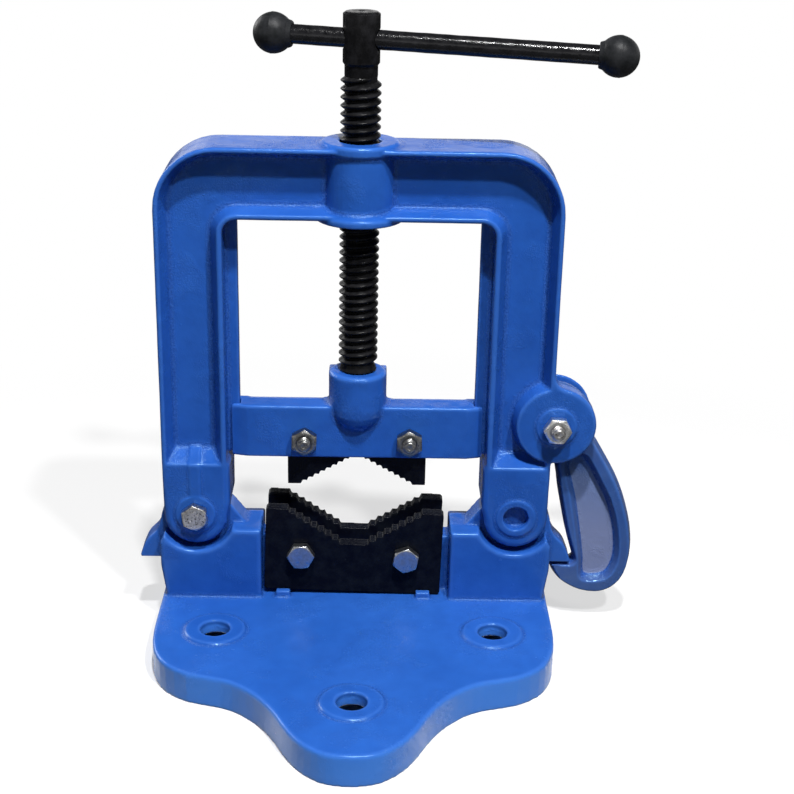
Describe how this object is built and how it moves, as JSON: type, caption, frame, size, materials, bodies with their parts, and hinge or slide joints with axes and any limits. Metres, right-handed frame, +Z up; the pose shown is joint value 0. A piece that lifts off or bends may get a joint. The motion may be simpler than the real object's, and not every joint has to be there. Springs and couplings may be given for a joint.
{
  "type": "pipe vise",
  "caption": "Hinged yoke pipe vise with a feed screw, sliding crosshead, serrated V jaws, swing latch and a bench base.",
  "frame": {"origin": "on the bench surface, straight below the axis of the feed screw", "axes": "+Z up along the feed screw, +X to the latch side, +Y from the front lobe of the base to its back"},
  "size_m": [0.2894, 0.2099, 0.3535],
  "materials": {
    "blue_enamel_base": "glossy blue enamel over cast iron",
    "blue_enamel_yoke": "glossy blue enamel over cast iron",
    "blue_enamel_crosshead": "glossy blue enamel over cast iron",
    "blue_enamel_latch": "glossy blue enamel over cast iron",
    "black_oxide_screw": "oiled black oxide",
    "black_oxide_bar": "oiled black oxide",
    "black_oxide_jaw": "oiled black oxide",
    "black_knob": "satin black",
    "zinc_plate": "bright zinc plate",
    "bright_steel_pin": "plain steel"
  },
  "bodies": {
    "base_body": {"base": "blue_enamel_base", "hinge_bolt": "zinc_plate", "hinge_nut": "zinc_plate", "lower_jaw_front": "black_oxide_jaw", "lower_jaw_rear": "black_oxide_jaw", "lower_jaw_bolt_left": "zinc_plate", "lower_jaw_bolt_right": "zinc_plate", "lower_jaw_nut_left": "zinc_plate", "lower_jaw_nut_right": "zinc_plate"},
    "yoke_body": {"yoke": "blue_enamel_yoke", "latch_bolt": "zinc_plate", "latch_nut": "zinc_plate"},
    "latch_body": {"latch": "blue_enamel_latch"},
    "crosshead_body": {"crosshead": "blue_enamel_crosshead", "retaining_pin": "bright_steel_pin", "upper_jaw": "black_oxide_jaw", "upper_jaw_bolt_left": "zinc_plate", "upper_jaw_bolt_right": "zinc_plate", "upper_jaw_nut_left": "zinc_plate", "upper_jaw_nut_right": "zinc_plate"},
    "screw_body": {"screw": "black_oxide_screw"},
    "bar_body": {"handle_bar": "black_oxide_bar", "knob_left": "black_knob", "knob_right": "black_knob"}
  },
  "joints": [
    {"name": "yoke_hinge", "type": "hinge", "parent": "base_body", "child": "yoke_body", "pos_m": [-0.09225, 0, 0.0707], "axis": [0, -1, 0], "range_deg": [0, 70]},
    {"name": "latch_swing", "type": "hinge", "parent": "yoke_body", "child": "latch_body", "pos_m": [0.1126, 0, 0.128], "axis": [0, -1, 0], "range_deg": [0, 65]},
    {"name": "jaw_slide", "type": "slide", "parent": "yoke_body", "child": "crosshead_body", "axis": [0, 0, 1], "range_m": [-0.026, 0.08]},
    {"name": "screw_turn", "type": "hinge", "parent": "crosshead_body", "child": "screw_body", "pos_m": [0, 0, 0.1548], "axis": [0, 0, 1], "range_deg": [-2080, 6400]},
    {"name": "bar_slide", "type": "slide", "parent": "screw_body", "child": "bar_body", "axis": [0.9899, -0.1391, -0.0279], "range_m": [-0.113, 0.026]}
  ],
  "couplings": [
    {"joint": "jaw_slide", "follows": "screw_turn", "m_per_rad": 0.0007162}
  ]
}
